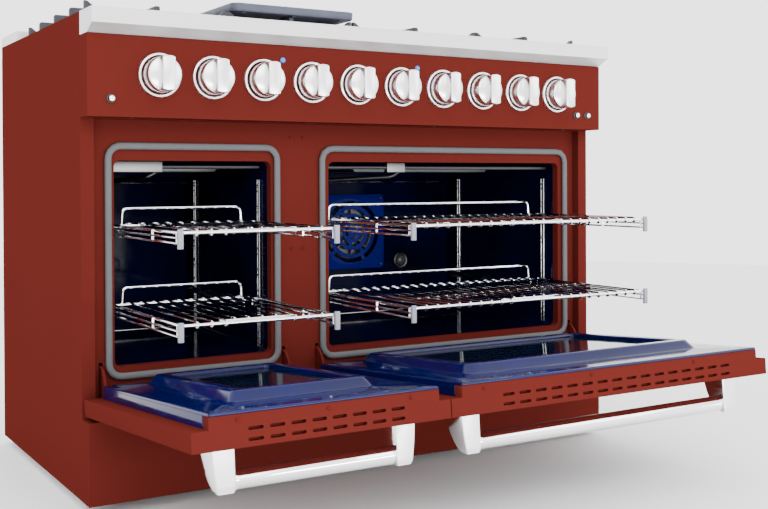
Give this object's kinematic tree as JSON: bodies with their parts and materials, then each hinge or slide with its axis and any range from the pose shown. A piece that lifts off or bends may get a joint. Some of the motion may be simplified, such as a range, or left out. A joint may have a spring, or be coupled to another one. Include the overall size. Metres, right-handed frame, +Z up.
{
  "type": "freestanding gas range",
  "caption": "Wide freestanding gas range in red paint with chrome knobs and handles, both oven doors open and blue enamel inside.",
  "frame": {"origin": "centre of the footprint with the oven doors open, on the floor under the feet", "axes": "+X to the right as seen from the front, -Y towards the person using it, +Z up"},
  "size_m": [1.219, 1.157, 0.9593],
  "materials": {
    "red_paint": "satin red enamel paint",
    "stainless": "brushed",
    "chrome": "polished",
    "blue_enamel": "glossy cobalt porcelain enamel",
    "galvanised": "matt zinc coated",
    "grey_braid": "woven glass braid",
    "cast_iron": "matt black",
    "cast_aluminium": "dull grey cast",
    "glass": "tinted",
    "brass": "machined"
  },
  "bodies": {
    "range_body": {"back_panel": "galvanised", "base_pan": "galvanised", "burner_pair_1": "brass", "burner_pair_2": "brass", "burner_pair_3": "brass", "burner_pair_4": "brass", "control_panel": "red_paint", "cooktop": "stainless", "door_gasket_left": "grey_braid", "door_gasket_right": "grey_braid", "fan_cover": "blue_enamel", "fan_motor": "galvanised", "front_frame": "red_paint", "front_trim": "stainless", "gas_manifold": "brass", "grate_1": "cast_iron", "grate_2": "cast_iron", "grate_3": "cast_iron", "grate_4": "cast_iron", "griddle_plate": "cast_aluminium", "hinge_carrier_left": "red_paint", "hinge_carrier_right": "red_paint", "kick_panel": "red_paint", "levelling_foot_1": "galvanised", "levelling_foot_2": "galvanised", "levelling_foot_3": "galvanised", "levelling_foot_4": "galvanised", "oven_liner_left": "blue_enamel", "oven_liner_right": "blue_enamel", "rack_guides_left": "chrome", "rack_guides_right": "chrome", "rear_deck": "stainless", "side_panel_left": "red_paint", "side_panel_right": "red_paint"},
    "door_left": {"door_skin_left": "red_paint", "door_liner_left": "blue_enamel", "door_glass_left": "glass", "door_handle_left": "chrome"},
    "rack_left_upper": {"oven_rack_left_upper": "chrome"},
    "rack_left_lower": {"oven_rack_left_lower": "chrome"},
    "door_right": {"door_skin_right": "red_paint", "door_liner_right": "blue_enamel", "door_glass_right": "glass", "door_handle_right": "chrome"},
    "rack_right_upper": {"oven_rack_right_upper": "chrome"},
    "rack_right_lower": {"oven_rack_right_lower": "chrome"},
    "knob_1": {"knob_1": "chrome"},
    "knob_2": {"knob_2": "chrome"},
    "knob_3": {"knob_3": "chrome"},
    "knob_4": {"knob_4": "chrome"},
    "knob_5": {"knob_5": "chrome"},
    "knob_6": {"knob_6": "chrome"},
    "knob_7": {"knob_7": "chrome"},
    "knob_8": {"knob_8": "chrome"},
    "knob_9": {"knob_9": "chrome"},
    "knob_10": {"knob_10": "chrome"},
    "oven_light_button_left": {"oven_light_button_left": "chrome"},
    "oven_light_button_right": {"oven_light_button_right": "chrome"},
    "fan_button": {"fan_button": "chrome"},
    "fan_wheel": {"fan_wheel": "galvanised"}
  },
  "joints": [
    {"name": "door_hinge_left", "type": "hinge", "parent": "range_body", "child": "door_left", "pos_m": [-0.38225, -0.0648, 0.2056], "axis": [-1, 0, 0], "range_deg": [0, 85.6]},
    {"name": "rack_slide_left_upper", "type": "slide", "parent": "range_body", "child": "rack_left_upper", "axis": [0, 1, 0], "range_m": [0, 0.365]},
    {"name": "rack_slide_left_lower", "type": "slide", "parent": "range_body", "child": "rack_left_lower", "axis": [0, 1, 0], "range_m": [0, 0.365]},
    {"name": "door_hinge_right", "type": "hinge", "parent": "range_body", "child": "door_right", "pos_m": [0.2255, -0.0648, 0.2056], "axis": [-1, 0, 0], "range_deg": [0, 85.6]},
    {"name": "rack_slide_right_upper", "type": "slide", "parent": "range_body", "child": "rack_right_upper", "axis": [0, 1, 0], "range_m": [0, 0.365]},
    {"name": "rack_slide_right_lower", "type": "slide", "parent": "range_body", "child": "rack_right_lower", "axis": [0, 1, 0], "range_m": [0, 0.365]},
    {"name": "knob_turn_1", "type": "hinge", "parent": "range_body", "child": "knob_1", "pos_m": [-0.47547, -0.1095, 0.7996], "axis": [0, -1, 0], "range_deg": [0, 270]},
    {"name": "knob_turn_2", "type": "hinge", "parent": "range_body", "child": "knob_2", "pos_m": [-0.36981, -0.1095, 0.7996], "axis": [0, -1, 0], "range_deg": [0, 270]},
    {"name": "knob_turn_3", "type": "hinge", "parent": "range_body", "child": "knob_3", "pos_m": [-0.26415, -0.1095, 0.7996], "axis": [0, -1, 0], "range_deg": [0, 270]},
    {"name": "knob_turn_4", "type": "hinge", "parent": "range_body", "child": "knob_4", "pos_m": [-0.15849, -0.1095, 0.7996], "axis": [0, -1, 0], "range_deg": [0, 270]},
    {"name": "knob_turn_5", "type": "hinge", "parent": "range_body", "child": "knob_5", "pos_m": [-0.05283, -0.1095, 0.7996], "axis": [0, -1, 0], "range_deg": [0, 270]},
    {"name": "knob_turn_6", "type": "hinge", "parent": "range_body", "child": "knob_6", "pos_m": [0.05283, -0.1095, 0.7996], "axis": [0, -1, 0], "range_deg": [0, 270]},
    {"name": "knob_turn_7", "type": "hinge", "parent": "range_body", "child": "knob_7", "pos_m": [0.15849, -0.1095, 0.7996], "axis": [0, -1, 0], "range_deg": [0, 270]},
    {"name": "knob_turn_8", "type": "hinge", "parent": "range_body", "child": "knob_8", "pos_m": [0.26415, -0.1095, 0.7996], "axis": [0, -1, 0], "range_deg": [0, 270]},
    {"name": "knob_turn_9", "type": "hinge", "parent": "range_body", "child": "knob_9", "pos_m": [0.36981, -0.1095, 0.7996], "axis": [0, -1, 0], "range_deg": [0, 270]},
    {"name": "knob_turn_10", "type": "hinge", "parent": "range_body", "child": "knob_10", "pos_m": [0.47547, -0.1095, 0.7996], "axis": [0, -1, 0], "range_deg": [0, 270]},
    {"name": "oven_light_button_left_press", "type": "slide", "parent": "range_body", "child": "oven_light_button_left", "axis": [0, 1, 0], "range_m": [0, 0.0025], "stiffness_N_per_m": 300},
    {"name": "oven_light_button_right_press", "type": "slide", "parent": "range_body", "child": "oven_light_button_right", "axis": [0, 1, 0], "range_m": [0, 0.0025], "stiffness_N_per_m": 300},
    {"name": "fan_button_press", "type": "slide", "parent": "range_body", "child": "fan_button", "axis": [0, 1, 0], "range_m": [0, 0.0025], "stiffness_N_per_m": 300},
    {"name": "fan_spin", "type": "hinge", "parent": "range_body", "child": "fan_wheel", "pos_m": [0.2265, 0.4255, 0.472], "axis": [0, 1, 0], "continuous": true}
  ],
  "couplings": [
    {"joint": "rack_slide_left_upper", "follows": "door_hinge_left", "m_per_rad": 0.2443},
    {"joint": "rack_slide_left_lower", "follows": "door_hinge_left", "m_per_rad": 0.2443},
    {"joint": "rack_slide_right_upper", "follows": "door_hinge_right", "m_per_rad": 0.2443},
    {"joint": "rack_slide_right_lower", "follows": "door_hinge_right", "m_per_rad": 0.2443}
  ]
}
